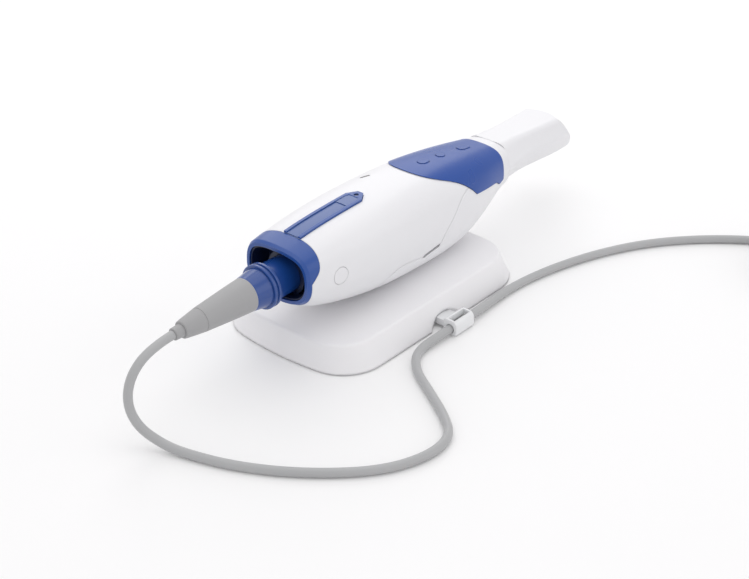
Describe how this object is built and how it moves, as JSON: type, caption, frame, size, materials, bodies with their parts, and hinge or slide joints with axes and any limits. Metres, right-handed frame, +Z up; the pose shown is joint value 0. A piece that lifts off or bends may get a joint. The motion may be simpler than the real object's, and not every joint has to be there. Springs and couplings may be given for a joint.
{
  "type": "intraoral scanner",
  "caption": "Wired intraoral scanner lying on a weighted desk stand, with a slide-off scanning tip, soft saddle with buttons, strain relief and a clipped cord.",
  "frame": {"origin": "centre of the stand's underside, on the surface that it stands on", "axes": "+X along the handle towards the scanning tip, +Z up, +Y to the left as seen from the cord end"},
  "size_m": [0.3817, 0.2221, 0.0583],
  "materials": {
    "white_shell": "satin white moulding",
    "white_stand": "satin white moulding",
    "white_tip": "satin white moulding",
    "blue_soft": "soft-touch satin",
    "blue_hard": "satin",
    "dark_plastic": "matte",
    "grey_rubber": "matte",
    "grey_plastic": "matte",
    "clip_plastic": "gloss",
    "steel": "satin",
    "aluminium": "satin",
    "gold": "polished",
    "board_green": "satin",
    "chip_black": "satin",
    "lens_glass": "polished",
    "mirror": "polished"
  },
  "bodies": {
    "scanner_on_stand": {"stand_shell": "white_stand", "stand_base_plate": "dark_plastic", "stand_mat": "grey_rubber", "stand_screws": "steel", "stand_ballast": "steel", "cable_clip": "clip_plastic", "main_shell": "white_shell", "nose_shell": "white_shell", "saddle": "blue_soft", "key_board": "board_green", "key_switches": "grey_plastic", "rear_collar": "blue_hard", "socket_bay": "dark_plastic", "socket_contacts": "gold", "spine_strip": "blue_hard", "spine_panel_rear": "blue_hard", "spine_panel_front": "blue_hard", "status_window": "lens_glass", "shoulder_sensor": "chip_black", "side_plugs": "white_shell", "chassis": "aluminium", "case_screws": "steel", "main_board": "board_green", "board_posts": "steel", "board_chips": "chip_black", "heat_sink": "aluminium", "optics_block": "dark_plastic", "camera_board": "board_green", "snout": "dark_plastic", "front_lens": "lens_glass", "plug_body": "blue_hard", "plug_ring": "blue_hard", "cable_cone": "grey_rubber", "cone_tail": "grey_rubber", "cord_sleeve": "grey_rubber", "cord": "grey_rubber", "cord_coil": "grey_rubber", "coil_tie": "grey_rubber", "cord_tail": "grey_rubber", "far_plug_boot": "grey_rubber", "far_plug_grip": "grey_plastic", "far_plug_shell": "steel", "far_plug_tongue": "chip_black"},
    "rear_button": {"rear_key": "blue_soft"},
    "middle_button": {"middle_key": "blue_soft"},
    "front_button": {"front_key": "blue_soft"},
    "tip": {"scanning_tip": "white_tip", "tip_mirror": "mirror"}
  },
  "joints": [
    {"name": "rear_button_press", "type": "slide", "parent": "scanner_on_stand", "child": "rear_button", "axis": [0, 0, -1], "range_m": [0, 0.0005], "stiffness_N_per_m": 3000},
    {"name": "middle_button_press", "type": "slide", "parent": "scanner_on_stand", "child": "middle_button", "axis": [0, 0, -1], "range_m": [0, 0.0005], "stiffness_N_per_m": 3000},
    {"name": "front_button_press", "type": "slide", "parent": "scanner_on_stand", "child": "front_button", "axis": [0, 0, -1], "range_m": [0, 0.0005], "stiffness_N_per_m": 3000},
    {"name": "tip_slide", "type": "slide", "parent": "scanner_on_stand", "child": "tip", "axis": [1, 0, 0], "range_m": [0, 0.034]}
  ]
}
